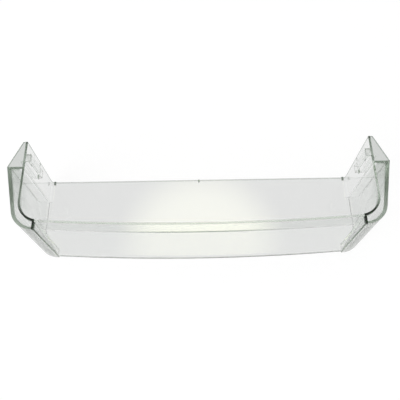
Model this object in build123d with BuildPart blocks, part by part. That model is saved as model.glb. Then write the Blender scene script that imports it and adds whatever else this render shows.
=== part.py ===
from build123d import *
from math import sqrt
import os

os.makedirs("parts", exist_ok=True)

# Clear moulded bottle shelf for a refrigerator door, one piece, in millimetres
# X runs along the shelf, Y from its front to the door, Z up from the underside of the floor

# Tray
inside_width = 438.6  # between the end walls
depth = 126.6  # front of the floor to the back of the rim
height = 118.0  # underside of the floor to the rim
wall = 2.5  # end walls, steps and end caps
skin = 4.6  # sides of the wings
front_wall = 2.2  # leaning front wall
floor_thickness = 2.8
inner_corner = 25.0  # inside radius where each end wall turns to the front
floor_fillet = 4.5  # inside radius along the foot of the walls
front_bow = 6.8  # how far the middle of the front stands ahead of its ends
front_lean = 10.0  # how far the front wall leans back between floor and rim
front_round = 4.5  # outer radius along the foot of the front wall
back_lean = 4.0  # how far the rim's back stands behind the floor's back edge
step_offset = 4.7  # from the start of the inner corner's curve out to the step

# Rail along the front rim
rail_thickness = 2.4
rail_sweep = 21.0  # length over which each end of the rail runs back into the wall

# Wings, the outer skins that carry the front round to the door
wing_reach = 19.4  # end cap, past the end wall's outer face
wing_setback = 36.0  # end cap's back face, ahead of the rim's back
nose_reach = 4.8  # nose corner before rounding, past the end wall's inner face
nose_radius = 28.0  # outer radius of the nose
foot_radius = 20.0  # outer radius under the back of the wing
pocket_corner = 1.0  # inside radius of the pocket beside the end cap

# Triangular web behind each wing, level with the rim
web_thickness = 2.4
apex_reach = 3.0  # web's width past the end wall at the back
apex_round = 2.0

# Hook sockets for a peg on the door's side wall
socket_wall = 1.6
socket_depth = 7.0  # how far the casing stands into the tray
peg_width = 7.6  # clear width of the upright channel
peg_entry = 26.0  # height of the groove that leads in from the back
entry_drop = 30.0  # rim to the top of the groove
entry_depth = 1.2  # depth of the groove in the end wall's outer face
casing_drop = 49.0  # rim to the foot of the casing
socket_back = 18.0  # back of the casing, ahead of the rim's back
guide_reach = 4.0  # guide plate, past the end wall's outer face

# Small moulding details
nib_width = 2.4
nib_length = 5.0
nib_height = 5.0
gate_width = 1.8
gate_length = 3.0
gate_height = 1.4

# Derived places
inside_half = inside_width / 2
end_face = inside_half + wall
back_y = depth / 2
front_y = -depth / 2
floor_back = back_y - back_lean
step_x = inside_half - inner_corner + step_offset
step_y = front_y + front_bow
tray_front = step_y + front_lean
corner_y = tray_front + wall + inner_corner
bow_radius = (step_x**2 + front_bow**2) / (2 * front_bow)
lean = Vector(0, front_lean, height)
cap_y = back_y - wing_setback
cap_x = end_face + wing_reach
nose_x = inside_half + nose_reach
foot_round = floor_fillet + wall
web_y = cap_y - wall / 2
socket_width = peg_width + 2 * socket_wall
socket_y = back_y - socket_back
socket_front = socket_y - socket_width
entry_top = height - entry_drop
entry_foot = entry_top - peg_entry
casing_foot = height - casing_drop
clear = 2 * depth  # length of a cut that runs out of the part


def front_at(x):
    """Y of the bowed front line at a distance x from the middle."""
    return front_y + bow_radius - sqrt(bow_radius**2 - x**2)


def front_arc(half_length, shift=0.0):
    """The bowed front line between two points at equal distances from the middle."""
    end_y = front_at(half_length) + shift
    return ThreePointArc((-half_length, end_y), (0, front_y + shift), (half_length, end_y))


# Plan of the tray over its end walls, with the front corners rounded
with BuildSketch() as tray_plan:
    with BuildLine():
        Polyline(
            (-end_face, back_y),
            (-end_face, tray_front),
            (end_face, tray_front),
            (end_face, back_y),
            close=True,
        )
    make_face()
    fillet(tray_plan.vertices().group_by(Axis.Y)[0], inner_corner + wall)

# Plan of one wing with its rounded nose, reaching in over the end wall
nose_y = step_y + (nose_x - step_x) * step_x / (bow_radius - front_bow)
with BuildSketch() as wing_plan:
    with BuildLine():
        Polyline(
            (step_x, step_y),
            (nose_x, nose_y),
            (cap_x, cap_y),
            (inside_half, cap_y),
            (inside_half, corner_y),
            (step_x, corner_y),
            close=True,
        )
    make_face()
    fillet(wing_plan.vertices().sort_by_distance((nose_x, nose_y))[0], nose_radius)

# Plan of the pocket inside the wing, with a thicker skin along the wing's side
with BuildSketch() as wing_inside:
    add(wing_plan.sketch)
    offset(amount=-wall, mode=Mode.REPLACE)
with BuildSketch() as pocket_plan:
    with Locations((wall - skin, 0)):
        add(wing_inside.sketch)
    add(wing_inside.sketch, mode=Mode.INTERSECT)
    add(tray_plan.sketch, mode=Mode.SUBTRACT)
    fillet(pocket_plan.vertices().group_by(Axis.Y)[-1], pocket_corner)

# Room for the bottles, open at the back, with a rounded foot
with BuildPart() as tray_space:
    with BuildSketch(Plane.XY.offset(floor_thickness)) as tray_mouth:
        with BuildLine():
            Polyline(
                (-inside_half, back_y + clear),
                (-inside_half, tray_front + wall),
                (inside_half, tray_front + wall),
                (inside_half, back_y + clear),
                close=True,
            )
        make_face()
        fillet(tray_mouth.vertices().group_by(Axis.Y)[0], inner_corner)
    extrude(amount=height)
    foot_edges = tray_space.edges().group_by(Axis.Z)[0].sort_by(Axis.Y)[:-1]
    fillet(foot_edges, floor_fillet)

# Room behind the leaning front wall
with BuildPart() as bay_space:
    with BuildSketch(Plane(lean * (floor_thickness / height))):
        with BuildLine():
            bay_front = front_arc(step_x, front_wall)
            Polyline(bay_front @ 1, (step_x, corner_y), (-step_x, corner_y), bay_front @ 0)
        make_face()
    extrude(amount=lean.length, dir=lean)
    bay_foot = bay_space.edges().group_by(Axis.Z)[0].sort_by(Axis.Y)[0]
    fillet(bay_foot, floor_fillet)

# Front of the shelf over its leaning wall, with a rounded foot
with BuildPart() as front_body:
    with BuildSketch():
        with BuildLine():
            body_front = front_arc(step_x)
            Polyline(body_front @ 1, (step_x, corner_y), (-step_x, corner_y), body_front @ 0)
        make_face()
    extrude(amount=lean.length, dir=lean)
    front_foot = front_body.edges().group_by(Axis.Z)[0].sort_by(Axis.Y)[0]
    fillet(front_foot, front_round)

# Space ahead of the leaning front wall
with BuildPart() as front_recess:
    with Locations((0, corner_y, 0)):
        Box(2 * step_x, clear, height, align=(Align.CENTER, Align.MAX, Align.MIN))
    add(front_body.part, mode=Mode.SUBTRACT)

# Pocket inside the wing, open at the top, with a rounded foot
with BuildPart() as pocket_space:
    with BuildSketch(Plane.XY.offset(floor_thickness)):
        add(pocket_plan.sketch)
    extrude(amount=height)
    with BuildSketch(Plane.XZ.offset(-cap_y)):
        with BuildLine():
            inner_foot = TangentArc(
                (cap_x - foot_radius, wall),
                (cap_x - wall, foot_radius),
                tangent=(1, 0),
            )
            Polyline(inner_foot @ 1, (cap_x, foot_radius), (cap_x, 0), (cap_x - foot_radius, 0), inner_foot @ 0)
        make_face()
    extrude(amount=clear, mode=Mode.SUBTRACT)

# One wing with its pocket and the web behind it
with BuildPart() as wing:
    with BuildSketch():
        add(wing_plan.sketch)
    extrude(amount=height)
    with BuildSketch(Plane.XZ.offset(-cap_y)):
        with BuildLine():
            outer_foot = TangentArc((cap_x - foot_radius, 0), (cap_x, foot_radius), tangent=(1, 0))
            Polyline(outer_foot @ 1, (cap_x, 0), outer_foot @ 0)
        make_face()
    extrude(amount=clear, mode=Mode.SUBTRACT)
    add(pocket_space.part, mode=Mode.SUBTRACT)
    with BuildSketch(Plane.XY.offset(height - web_thickness)) as web_plan:
        with BuildLine():
            Polyline(
                (inside_half, web_y),
                (cap_x - wall, web_y),
                (cap_x, cap_y),
                (end_face + apex_reach, back_y),
                (inside_half, back_y),
                close=True,
            )
        make_face()
        fillet(web_plan.vertices().sort_by_distance((end_face + apex_reach, back_y))[0], apex_round)
    extrude(amount=web_thickness)

# Casing of one hook socket and its guide plate
with BuildPart() as socket:
    with Locations((inside_half - socket_depth, socket_front, casing_foot)):
        Box(socket_depth + wall, socket_width, casing_drop, align=Align.MIN)
        Box(socket_depth + wall + guide_reach, socket_wall, casing_drop, align=Align.MIN)

# Way for the peg, in along the end wall's outer face and up inside the casing
with BuildPart() as channel:
    with Locations((inside_half - socket_depth + socket_wall, socket_front + socket_wall, entry_foot)):
        Box(socket_depth - socket_wall + wall, peg_width, height - web_thickness - entry_foot, align=Align.MIN)
    with Locations((end_face - entry_depth, socket_front + socket_wall, entry_foot)):
        Box(entry_depth, clear, peg_entry, align=Align.MIN)

# Rounding along the outer foot of one end wall, behind its wing
with BuildPart() as wall_foot:
    with BuildSketch(Plane.XZ.offset(-cap_y)):
        with BuildLine():
            round_line = TangentArc((end_face - foot_round, 0), (end_face, foot_round), tangent=(1, 0))
            Polyline(round_line @ 1, (end_face, 0), round_line @ 0)
        make_face()
    extrude(amount=-clear)

# The whole shelf
with BuildPart() as door_shelf:
    with BuildSketch():
        add(tray_plan.sketch)
        with BuildLine():
            bay_line = front_arc(step_x)
            Polyline(bay_line @ 1, (step_x, corner_y), (-step_x, corner_y), bay_line @ 0)
        make_face()
    extrude(amount=height)
    add(wing.part)
    mirror(wing.part, about=Plane.YZ)
    add(tray_space.part, mode=Mode.SUBTRACT)
    add(bay_space.part, mode=Mode.SUBTRACT)
    add(front_recess.part, mode=Mode.SUBTRACT)

    # Rail that stands ahead of the front wall, with swept ends
    with BuildSketch(Plane.XY.offset(height - rail_thickness)):
        with BuildLine():
            rail_front = front_arc(step_x - rail_sweep)
            right_end = TangentArc(rail_front @ 1, (step_x, tray_front), tangent=rail_front % 1)
            rail_back = front_arc(step_x, front_lean + front_wall / 2)
            left_end = TangentArc(rail_front @ 0, (-step_x, tray_front), tangent=(rail_front % 0) * -1)
            Line(right_end @ 1, rail_back @ 1)
            Line(left_end @ 1, rail_back @ 0)
        make_face()
    extrude(amount=rail_thickness)

    # Hook sockets in both end walls
    add(socket.part)
    mirror(socket.part, about=Plane.YZ)
    add(channel.part, mode=Mode.SUBTRACT)
    mirror(channel.part, about=Plane.YZ, mode=Mode.SUBTRACT)

    # Rounded feet of the end walls
    add(wall_foot.part, mode=Mode.SUBTRACT)
    mirror(wall_foot.part, about=Plane.YZ, mode=Mode.SUBTRACT)

    # Nibs at the floor's back corners and the gate mark at the middle of its back edge
    with Locations(
        (inside_half - floor_fillet, floor_back, floor_thickness),
        (-inside_half + floor_fillet, floor_back, floor_thickness),
    ):
        Box(nib_width, nib_length, nib_height, align=(Align.CENTER, Align.MAX, Align.CENTER))
    with Locations((0, floor_back, floor_thickness)):
        Box(gate_width, gate_length, 2 * gate_height, align=(Align.CENTER, Align.MAX, Align.CENTER))

    # Back edges of the floor and the end walls lean out towards the rim
    with BuildSketch(Plane.YZ):
        with BuildLine():
            Polyline(
                (floor_back, 0),
                (back_y, height),
                (back_y + clear, height),
                (back_y + clear, 0),
                close=True,
            )
        make_face()
    extrude(amount=end_face + clear, both=True, mode=Mode.SUBTRACT)

door_shelf.part.label = "door_shelf"
export_step(door_shelf.part, "parts/door_shelf.step")
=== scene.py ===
from math import copysign, radians

import bpy
from mathutils import Matrix, Vector


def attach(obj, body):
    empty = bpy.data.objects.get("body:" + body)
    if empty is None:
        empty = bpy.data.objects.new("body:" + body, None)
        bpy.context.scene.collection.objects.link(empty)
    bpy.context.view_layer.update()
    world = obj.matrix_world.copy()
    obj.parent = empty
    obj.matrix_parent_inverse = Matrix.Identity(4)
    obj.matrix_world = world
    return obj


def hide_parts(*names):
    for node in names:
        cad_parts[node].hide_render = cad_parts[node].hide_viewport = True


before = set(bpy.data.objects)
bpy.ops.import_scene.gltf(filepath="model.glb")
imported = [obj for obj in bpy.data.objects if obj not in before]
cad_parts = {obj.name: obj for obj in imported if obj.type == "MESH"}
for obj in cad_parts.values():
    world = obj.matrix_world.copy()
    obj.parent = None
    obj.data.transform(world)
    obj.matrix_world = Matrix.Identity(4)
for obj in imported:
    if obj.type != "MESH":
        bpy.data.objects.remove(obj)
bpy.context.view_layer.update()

# Clear moulded bottle shelf for a refrigerator door, in metres, in the frame of the solid model
# X runs along the shelf, Y from its front to the door, Z up from the underside of the floor
MM = 0.001

HEIGHT = 118.0 * MM
INSIDE = 219.3 * MM  # inner face of each end wall
CORNER = 25.0 * MM  # inside radius of the tray's front corners
CORNER_Y = -19.0 * MM  # where that radius starts
STEP_X = 199.0 * MM  # step between the front wall and each wing
STEP_Y = -56.5 * MM
CAP_Y = 27.3 * MM  # back of each wing's end cap
WALL = 2.5 * MM
WEB = 2.4 * MM
WEB_X = 241.2 * MM  # outer corner of the web at the end cap
WEB_SLANT = 16.4 / 36.0
FRONT_Y = -63.3 * MM  # middle of the bowed front
BOW_RADIUS = 2915.2 * MM
RAIL_DEPTH = 12.0 * MM
FLOOR_BACK = 59.3 * MM
BACK_LEAN = 4.0 * MM
NIB_X = 214.8 * MM
SOCKET_FRONT = 34.5 * MM
SOCKET_BACK = 45.3 * MM
SOCKET_FOOT = 69.0 * MM


class Value:
    """A shader socket that takes part in Python expressions, each of which adds a Math node."""

    def __init__(self, tree, socket):
        self.tree = tree
        self.socket = socket

    def maths(self, operation, *values):
        node = self.tree.node("ShaderNodeMath", {"operation": operation}, dict(enumerate(values)))
        return node.out()

    def __add__(self, other):
        return self.maths("ADD", self, other)

    def __radd__(self, other):
        return self.maths("ADD", other, self)

    def __sub__(self, other):
        return self.maths("SUBTRACT", self, other)

    def __rsub__(self, other):
        return self.maths("SUBTRACT", other, self)

    def __mul__(self, other):
        return self.maths("MULTIPLY", self, other)

    def __rmul__(self, other):
        return self.maths("MULTIPLY", other, self)

    def __truediv__(self, other):
        return self.maths("DIVIDE", self, other)

    def __rtruediv__(self, other):
        return self.maths("DIVIDE", other, self)

    def largest(self, *others):
        most = self
        for other in others:
            most = most.maths("MAXIMUM", most, other)
        return most

    def size(self):
        return self.maths("ABSOLUTE", self)

    def root(self):
        return self.maths("SQRT", self)


class Made:
    """A node that has been added, with its outputs as values."""

    def __init__(self, tree, node):
        self.tree = tree
        self.node = node

    def out(self, name=0):
        return Value(self.tree, self.node.outputs[name])


class Shader:
    """The node tree of a material or a world."""

    def __init__(self, owner):
        owner.use_nodes = True
        self.nodes = owner.node_tree.nodes
        self.links = owner.node_tree.links
        self.nodes.clear()

    def node(self, kind, settings=None, sockets=None):
        node = self.nodes.new(kind)
        for name, setting in (settings or {}).items():
            setattr(node, name, setting)
        for name, value in (sockets or {}).items():
            if isinstance(value, Made):
                value = value.out()
            if isinstance(value, Value):
                self.links.new(value.socket, node.inputs[name])
            else:
                node.inputs[name].default_value = value
        return Made(self, node)

    def rise(self, value, start, end):
        """Zero on the start's side, one past the end, with a smooth change between."""
        ramp = self.node(
            "ShaderNodeMapRange",
            {"interpolation_type": "SMOOTHSTEP"},
            {"Value": value, "From Min": start, "From Max": end},
        )
        return ramp.out()

    def between(self, value, low, high, soft):
        """One from low to high, falling to zero over a soft margin on both sides."""
        return self.rise(value, low - soft, low) * self.rise(value, high + soft, high)


def blend(low, high, share):
    """From low, where the share is zero, to high, where it is one."""
    return low + (high - low) * share


def deselect_all():
    bpy.ops.object.select_all(action="DESELECT")


def take(piece):
    """Makes a piece the only selected and the active object."""
    deselect_all()
    piece.select_set(True)
    bpy.context.view_layer.objects.active = piece


# The moulding

MERGE_GAP = 0.002 * MM
FLAT_ANGLE = radians(0.2)  # faces within this angle are joined
EDGE_ROUND = 0.25 * MM
EDGE_ANGLE = radians(35)  # edges that turn more than this are rounded
ROUND_SLACK = 0.03 * MM  # a corner's vertices lie this close to its cylinder

# Rounded upright corners of the right end: axis in plan, radius, and 1 where the plastic is inside
UPRIGHT_ROUNDS = (
    (201.02 * MM, -28.3 * MM, 28.0 * MM, 1),  # nose of the wing
    (198.92 * MM, -28.3 * MM, 25.5 * MM, -1),  # pocket behind it
    (INSIDE - CORNER, CORNER_Y, CORNER + WALL, 1),  # end wall, from the pocket
    (INSIDE - CORNER, CORNER_Y, CORNER, -1),  # end wall, from the tray
)


def smooth_rounds(moulding):
    """Gives the flat strips of the upright corners the normals of true cylinders."""
    mesh = moulding.data
    normals = [corner.vector.copy() for corner in mesh.corner_normals]
    for face in mesh.polygons:
        for x, y, radius, side in UPRIGHT_ROUNDS:
            axis = Vector((copysign(x, face.center.x), y))
            spokes = [mesh.vertices[index].co.xy - axis for index in face.vertices]
            if all(abs(spoke.length - radius) < ROUND_SLACK for spoke in spokes):
                for loop, spoke in zip(face.loop_indices, spokes):
                    normals[loop] = (side * spoke.normalized()).to_3d()
    mesh.normals_split_custom_set(normals)


def make_moulding():
    """A merged copy of the solid model with softened edges."""
    take(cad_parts["door_shelf"])
    bpy.ops.object.duplicate()
    moulding = bpy.context.view_layer.objects.active
    moulding.name = "shelf_moulding"
    moulding.data.name = "shelf_moulding"
    bpy.ops.object.mode_set(mode="EDIT")
    bpy.ops.mesh.select_all(action="SELECT")
    bpy.ops.mesh.remove_doubles(threshold=MERGE_GAP)
    bpy.ops.mesh.dissolve_limited(angle_limit=FLAT_ANGLE)
    bpy.ops.object.mode_set(mode="OBJECT")
    bpy.ops.object.shade_smooth()
    bevel = moulding.modifiers.new("soft_edges", "BEVEL")
    bevel.width = EDGE_ROUND
    bevel.segments = 2
    bevel.limit_method = "ANGLE"
    bevel.angle_limit = EDGE_ANGLE
    bevel.use_clamp_overlap = True
    bpy.ops.object.modifier_apply(modifier=bevel.name)
    flat = moulding.modifiers.new("flat_faces", "WEIGHTED_NORMAL")
    flat.mode = "FACE_AREA"
    flat.weight = 50
    bpy.ops.object.modifier_apply(modifier=flat.name)
    smooth_rounds(moulding)
    return moulding


moulding = make_moulding()


# Clear plastic, faintly green, with painted shade on its rims and edges for the dark that light running
# inside the walls gives them

SOFT = 0.4 * MM  # margin over which a painted edge fades out
NOSE = (-8 * MM, -38 * MM)  # from the wing's straight side to its rounded nose
SKIN = (5 * MM, 8 * MM)  # from the end wall to the wing's outer skin

# Depth of the painted shade on rims and edges: 0 is clear and 1 is black
INNER_RIM = 0.89
INNER_RIM_NOSE = 1.0
INNER_RIM_LIT = 0.37  # how much paler the right inner rim is, where it catches the light
OUTER_RIM = 0.87
OUTER_RIM_NOSE = 0.75
BELOW_NOSE = 0.99
# Painted shade on the wings' outer skins
SKIN_SHADE = 0.07
UPPER_SKIN = 0.2  # added to the skin's painted shade in its upper half
SHOULDER = 0.35  # added to the skin's painted shade just under the rim
NOSE_SKIN = 0.05  # what is left of the skin's painted shade at the nose
# Painted shade on the end walls' rims behind the caps and on the webs
END_RIM = 0.84
END_RIM_TIP = 0.96
WEB_SHADE = 0.2
WEB_EDGE = 0.6
# Painted shade on the rail and its front edge
RAIL_SHADE = 0.04
RAIL_EDGE = 0.74
# Painted shade on the back edges and the nibs
WALL_BACK = 0.4
FLOOR_BACK_EDGE = 0.35
NIB_SHADE = 0.95
GATE_TINT = 0.7
# Painted shade on the upright step edges, from foot to top
STEP_FOOT = 0.6
STEP_TOP = 0.95

# Roughness of the clear faces, and what is added to it
GLOSS = 0.02
RUB_MARKS = 0.05
EDGE_DULL = 0.4
CASING_DULL = 0.35
NOSE_SATIN = 0.12

REFRACTION = 1.57


class Spot:
    """Where a point of the moulding lies, from its object coordinates."""

    def __init__(self, tree):
        self.place = tree.node("ShaderNodeTexCoord").out("Object")
        split = tree.node("ShaderNodeSeparateXYZ", None, {"Vector": self.place})
        self.along = split.out("X")
        self.across = self.along.size()
        self.back = split.out("Y")
        self.up = split.out("Z")
        # Distance outwards from the inner outline of the tray
        past_x = (self.across - (INSIDE - CORNER)).largest(0.0)
        past_y = (CORNER_Y - self.back).largest(0.0)
        self.outwards = (past_x * past_x + past_y * past_y).root() - CORNER
        # Distance backwards from the bowed front line
        self.from_front = self.back - FRONT_Y - self.along * self.along / (2 * BOW_RADIUS)
        # Distance to the leaning back edge
        self.to_back = FLOOR_BACK + self.up * (BACK_LEAN / HEIGHT) - self.back
        self.ends = tree.rise(self.across, STEP_X - 0.6 * MM, STEP_X - 0.1 * MM)
        self.wing = tree.rise(self.back, CAP_Y + SOFT, CAP_Y)
        self.nose = tree.rise(self.back, *NOSE)
        self.rim = tree.rise(self.up, HEIGHT - 0.8 * MM, HEIGHT - 0.3 * MM)


def wing_edges(tree, spot):
    """Painted shade on the rims of the end walls, wings and steps as far back as the end caps, and on
    the wings' skins.
    """
    inner = tree.between(spot.outwards, 0.0, WALL, SOFT)
    step = tree.rise(spot.across, STEP_X + WALL + SOFT, STEP_X + WALL)
    step = step * tree.rise(spot.back, -40 * MM, -43 * MM)
    inner_rim = inner.largest(step)
    outer_rim = 1.0 - inner_rim
    lit = INNER_RIM_LIT * tree.rise(spot.along, 0.0, 100 * MM) * (1.0 - spot.nose)
    # Painted shade along the inner and outer rims, black on the inner rim at the nose
    inner_shade = blend(INNER_RIM, INNER_RIM_NOSE, spot.nose) - lit
    outer_shade = blend(OUTER_RIM, OUTER_RIM_NOSE, spot.nose)
    rims = spot.rim * (inner_rim * inner_shade + outer_rim * outer_shade)
    # Painted shade on the nose just below its inner rim
    below_nose = tree.rise(spot.up, HEIGHT - 9 * MM, HEIGHT - 2 * MM) * spot.nose * inner_rim
    # Painted shade on the wings' outer skins, deeper in their upper half and just under the rim, and
    # nearly none at the nose
    shoulder = tree.rise(spot.up, HEIGHT - 8 * MM, HEIGHT) * (1.0 - spot.nose)
    upper = tree.rise(spot.up, 60 * MM, 85 * MM)
    skin_shade = (SKIN_SHADE + UPPER_SKIN * upper + SHOULDER * shoulder) * blend(1.0, NOSE_SKIN, spot.nose)
    skins = tree.rise(spot.outwards, *SKIN) * skin_shade
    return spot.ends * spot.wing * rims.largest(BELOW_NOSE * below_nose, skins)


def web_edges(tree, spot):
    """Painted shade on the rim of each end wall behind its cap, darkest at the tip, and on the web
    beside it, deeper at its edge.
    """
    behind = spot.ends * (1.0 - spot.wing)
    end_rim = spot.rim * tree.between(spot.outwards, 0.0, WALL, SOFT)
    tip = tree.rise(spot.back, 58 * MM, 61 * MM)
    web = tree.rise(spot.up, HEIGHT - WEB - SOFT, HEIGHT - WEB)
    web = web * tree.rise(spot.outwards, WALL, WALL + SOFT)
    # Slanting outer edge of the web, from the end cap to the tip
    inwards = WEB_X - (spot.back - CAP_Y) * WEB_SLANT - spot.across
    web_rim = web * blend(WEB_SHADE, WEB_EDGE, tree.rise(inwards, 1.0 * MM, 0.5 * MM))
    return behind * (end_rim * blend(END_RIM, END_RIM_TIP, tip)).largest(web_rim)


def rail_edges(tree, spot):
    """Painted shade that makes the rail a little darker than the floor, and a deeper painted line along
    its front edge.
    """
    on_rail = tree.rise(spot.up, HEIGHT - WEB - SOFT, HEIGHT - WEB) * (1.0 - spot.ends)
    on_rail = on_rail * tree.rise(spot.from_front, RAIL_DEPTH + 0.2 * MM, RAIL_DEPTH - 0.2 * MM)
    edge = tree.rise(spot.from_front, 1 * MM, 0.4 * MM) * tree.rise(spot.across, 150 * MM, 20 * MM)
    return on_rail * blend(RAIL_SHADE, RAIL_EDGE, edge)


def back_edges(tree, spot):
    """Painted shade on the back edges of the floor and the end walls and on the nibs, with the gate
    mark.
    """
    on_wall = tree.rise(spot.up, 6 * MM, 7 * MM)
    wall_edge = WALL_BACK * on_wall * tree.rise(spot.to_back, 1.3 * MM, 0.8 * MM)
    floor_edge = tree.between(spot.to_back, 0.3 * MM, 1.2 * MM, 0.2 * MM)
    floor_edge = FLOOR_BACK_EDGE * (1.0 - on_wall) * floor_edge
    on_floor = (1.0 - on_wall) * tree.rise(spot.up, 3 * MM, 3.4 * MM)
    nib = tree.between(spot.across, NIB_X - 1.3 * MM, NIB_X + 1.3 * MM, 0.3 * MM)
    nib = nib * on_floor * tree.rise(spot.to_back, 5.6 * MM, 5.2 * MM)
    gate = tree.rise(spot.across, 1.2 * MM, 0.9 * MM) * tree.rise(spot.to_back, 3.6 * MM, 3.2 * MM)
    return wall_edge.largest(floor_edge, NIB_SHADE * nib, GATE_TINT * gate)


def corner_edges(tree, spot):
    """Painted shade on the upright edge where each wing steps ahead of the front wall, deeper towards
    the top.
    """
    upright = tree.between(spot.across, STEP_X, STEP_X + 1.2 * MM, 0.3 * MM)
    upright = upright * tree.rise(spot.back, STEP_Y + 2 * MM, STEP_Y + 1 * MM)
    return upright * blend(STEP_FOOT, STEP_TOP, tree.rise(spot.up, 0.0, HEIGHT))


def casing(tree, spot):
    """Dull top and foot of the hook sockets' casings."""
    inside = tree.rise(spot.outwards, -0.2 * MM, -0.5 * MM)
    beside = tree.between(spot.back, SOCKET_FRONT, SOCKET_BACK, 0.3 * MM)
    foot = tree.between(spot.up, SOCKET_FOOT, SOCKET_FOOT + 0.3 * MM, 0.3 * MM)
    return spot.ends * inside * beside * foot.largest(spot.rim)


def nose_skin(tree, spot):
    """Skin of each wing's rounded nose, which has a slightly satin finish."""
    return spot.ends * tree.rise(spot.outwards, *SKIN) * tree.rise(spot.back, -20 * MM, -34 * MM)


def noise(tree, place, scale, detail):
    """Uneven values about the middle between 0 and 1."""
    sockets = {"Vector": place, "Scale": scale, "Detail": detail}
    return tree.node("ShaderNodeTexNoise", None, sockets).out("Fac")


def clear_plastic():
    material = bpy.data.materials.new("clear_plastic")
    tree = Shader(material)
    spot = Spot(tree)
    # Painted shade of all the rims and edges
    edges = wing_edges(tree, spot).largest(
        web_edges(tree, spot),
        rail_edges(tree, spot),
        back_edges(tree, spot),
        corner_edges(tree, spot),
    )
    # Slow unevenness of the moulded faces
    sink = noise(tree, spot.place, 28.0, 2.0)
    bump = tree.node("ShaderNodeBump", None, {"Strength": 0.02, "Distance": 0.2 * MM, "Height": sink})
    # Fine rubbing marks from use
    rub_place = tree.node("ShaderNodeMapping", None, {"Vector": spot.place, "Scale": (1.0, 3.0, 3.0)})
    rub = noise(tree, rub_place, 160.0, 4.0)
    dull = (EDGE_DULL * edges * edges.root()).largest(
        CASING_DULL * casing(tree, spot),
        NOSE_SATIN * nose_skin(tree, spot),
    )
    # Base colour: the plastic's faint green, taken towards black by the painted edge shade, which keeps
    # a green cast
    clear = 1.0 - edges
    green = clear * (0.972 + 0.4 * edges * edges) + 0.0006 * edges
    colour = tree.node("ShaderNodeCombineColor", None, {0: 0.965 * clear, 1: green, 2: 0.966 * clear})
    surface = tree.node(
        "ShaderNodeBsdfPrincipled",
        None,
        {
            "Base Color": colour,
            "Roughness": GLOSS + RUB_MARKS * sink * rub + dull,
            "IOR": REFRACTION,
            "Transmission Weight": 1.0,
            "Normal": bump,
        },
    )
    volume = tree.node(
        "ShaderNodeVolumeAbsorption",
        None,
        {"Color": (0.6, 0.75, 0.55, 1.0), "Density": 2.0},
    )
    tree.node("ShaderNodeOutputMaterial", None, {"Surface": surface, "Volume": volume})
    return material


moulding.data.materials.clear()
moulding.data.materials.append(clear_plastic())
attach(moulding, "root")
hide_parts("door_shelf")


# Studio

FLOOR_SIZE = 12.0
FLOOR_DROP = 0.15 * MM
FLOOR_LEVEL = 0.9  # brightness through the plastic and in its gloss
FLOOR_LEVEL_STRAIGHT = 1.06  # brightness to the camera
FLOOR_GLOW_SHARE = 0.85  # the rest takes light and shadow
WALLS_OVERHEAD = 0.5
WALLS_HORIZON = 0.95
GLOW_TOWARD = (0.0, 0.296, 0.955)
GLOW_LEVEL = 1.9
LAMP_SIZE = 2.6
LAMP_POWER = 30.0
LAMP_PLACE = (-1.2, -1.5, 1.5)
LENS = 44.37
CAMERA_PLACE = (0.89 * MM, -257.84 * MM, 672.02 * MM)
CAMERA_HEADING = radians(-0.06)
CAMERA_TILT = radians(23.03)
CAMERA_ROLL = radians(-0.93)
BOUNCES = 64  # light runs far along the walls inside clear plastic


def make_floor():
    deselect_all()
    bpy.ops.mesh.primitive_plane_add(size=FLOOR_SIZE, location=(0, 0, -FLOOR_DROP))
    floor = bpy.context.view_layer.objects.active
    bpy.ops.object.transform_apply(location=True)
    floor.name = "studio_floor"
    material = bpy.data.materials.new("white_floor")
    tree = Shader(material)
    paper = tree.node("ShaderNodeBsdfDiffuse", None, {"Color": (0.9, 0.9, 0.9, 1.0)})
    # White to the camera, and a shade less so through the plastic and in its gloss
    path = tree.node("ShaderNodeLightPath")
    straight = path.out("Is Camera Ray")
    level = blend(FLOOR_LEVEL, FLOOR_LEVEL_STRAIGHT, straight)
    white = tree.node("ShaderNodeCombineColor", None, {0: level, 1: level, 2: level})
    glow = tree.node("ShaderNodeEmission", None, {"Color": white, "Strength": 1.0})
    seen = straight.largest(path.out("Is Glossy Ray"), path.out("Is Transmission Ray"))
    share = FLOOR_GLOW_SHARE * seen
    mixed = tree.node("ShaderNodeMixShader", None, {0: share, 1: paper, 2: glow})
    tree.node("ShaderNodeOutputMaterial", None, {"Surface": mixed})
    floor.data.materials.append(material)


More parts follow.
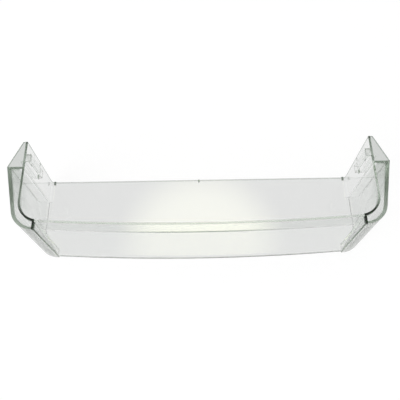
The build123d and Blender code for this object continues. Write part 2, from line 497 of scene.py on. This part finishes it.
def make_world():
    world = bpy.data.worlds.new("studio")
    bpy.context.scene.world = world
    tree = Shader(world)
    path = tree.node("ShaderNodeLightPath")
    # Soft light overhead, brightest above and behind the shelf
    direction = tree.node("ShaderNodeTexCoord").out("Generated")
    toward = tree.node(
        "ShaderNodeVectorMath",
        {"operation": "DOT_PRODUCT"},
        {0: direction, 1: GLOW_TOWARD},
    ).out("Value")
    glow = GLOW_LEVEL * tree.rise(toward, 0.983, 0.997)
    # Pale walls all round
    up = tree.node("ShaderNodeSeparateXYZ", None, {"Vector": direction}).out("Z")
    walls = blend(WALLS_OVERHEAD, WALLS_HORIZON, tree.rise(up, 0.6, 0.1))
    light = walls + glow
    shade = tree.node("ShaderNodeCombineColor", None, {0: light, 1: light, 2: walls + 0.7 * glow})
    studio = tree.node("ShaderNodeBackground", None, {"Color": shade, "Strength": 1.0})
    white = tree.node("ShaderNodeBackground", None, {"Color": (1.0, 1.0, 1.0, 1.0), "Strength": 1.0})
    straight = path.out("Is Camera Ray")
    mixed = tree.node("ShaderNodeMixShader", None, {0: straight, 1: studio, 2: white})
    tree.node("ShaderNodeOutputWorld", None, {"Surface": mixed})


def make_lamp():
    lamp = bpy.data.lights.new("soft_lamp", "AREA")
    lamp.shape = "DISK"
    lamp.size = LAMP_SIZE
    lamp.energy = LAMP_POWER
    lamp_object = bpy.data.objects.new("soft_lamp", lamp)
    bpy.context.scene.collection.objects.link(lamp_object)
    lamp_object.location = LAMP_PLACE
    lamp_object.rotation_euler = lamp_object.location.to_track_quat("Z", "Y").to_euler()


def make_camera():
    camera = bpy.data.cameras.new("camera")
    camera.sensor_width = 36.0
    camera.lens = LENS
    camera.clip_start = 0.01
    holder = bpy.data.objects.new("camera", camera)
    bpy.context.scene.collection.objects.link(holder)
    turn = (
        Matrix.Rotation(CAMERA_HEADING, 4, "Z")
        @ Matrix.Rotation(CAMERA_TILT, 4, "X")
        @ Matrix.Rotation(CAMERA_ROLL, 4, "Z")
    )
    holder.matrix_world = Matrix.Translation(CAMERA_PLACE) @ turn
    bpy.context.scene.camera = holder


make_floor()
make_world()
make_lamp()
make_camera()
bpy.context.scene.view_settings.view_transform = "Standard"
bpy.context.scene.cycles.max_bounces = BOUNCES
bpy.context.scene.cycles.transmission_bounces = BOUNCES
bpy.context.scene.cycles.glossy_bounces = BOUNCES
